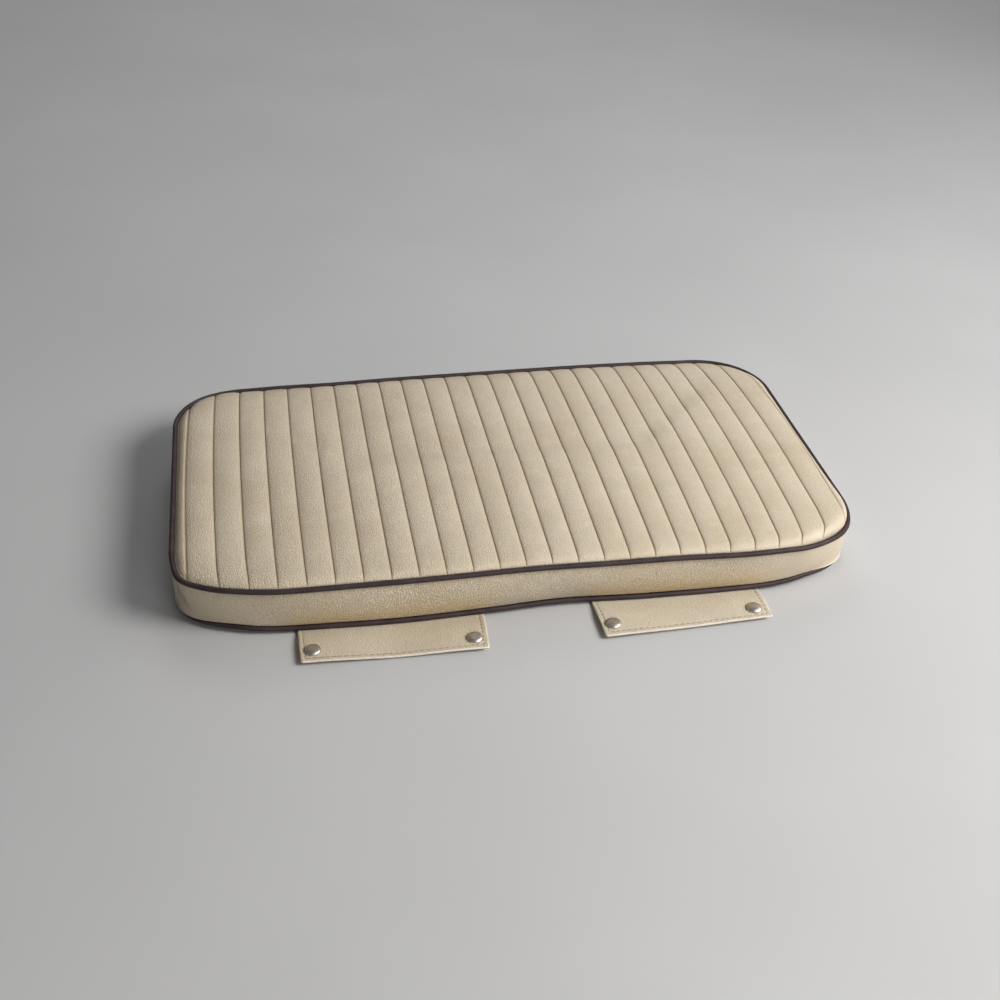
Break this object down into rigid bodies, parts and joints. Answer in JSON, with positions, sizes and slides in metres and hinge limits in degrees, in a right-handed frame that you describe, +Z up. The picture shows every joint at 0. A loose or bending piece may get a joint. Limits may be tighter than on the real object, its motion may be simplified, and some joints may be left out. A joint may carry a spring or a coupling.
{
  "type": "cooler seat cushion",
  "caption": "Channelled vinyl seat pad for the lid of a cooler, a long rectangle with rounded corners, piped along both edges, with snap flaps along its front.",
  "frame": {"origin": "centre of the flat underside, on the surface that the pad lies on", "axes": "+X along the pad's length, +Y from the edge with the flaps to the back edge, +Z up out of the underside"},
  "size_m": [0.6646, 0.4138, 0.0636],
  "materials": {
    "cream_vinyl": "fine pebble grain, satin",
    "brown_piping": "smooth vinyl over cord, satin",
    "nickel": "polished nickel plate"
  },
  "bodies": {
    "root": {"cushion": "cream_vinyl", "piping_top": "brown_piping", "piping_bottom": "brown_piping", "flap_left": "cream_vinyl", "flap_right": "cream_vinyl", "snap_cap_1": "nickel", "snap_cap_2": "nickel", "snap_cap_3": "nickel", "snap_cap_4": "nickel", "snap_socket_1": "nickel", "snap_socket_2": "nickel", "snap_socket_3": "nickel", "snap_socket_4": "nickel"}
  },
  "joints": []
}
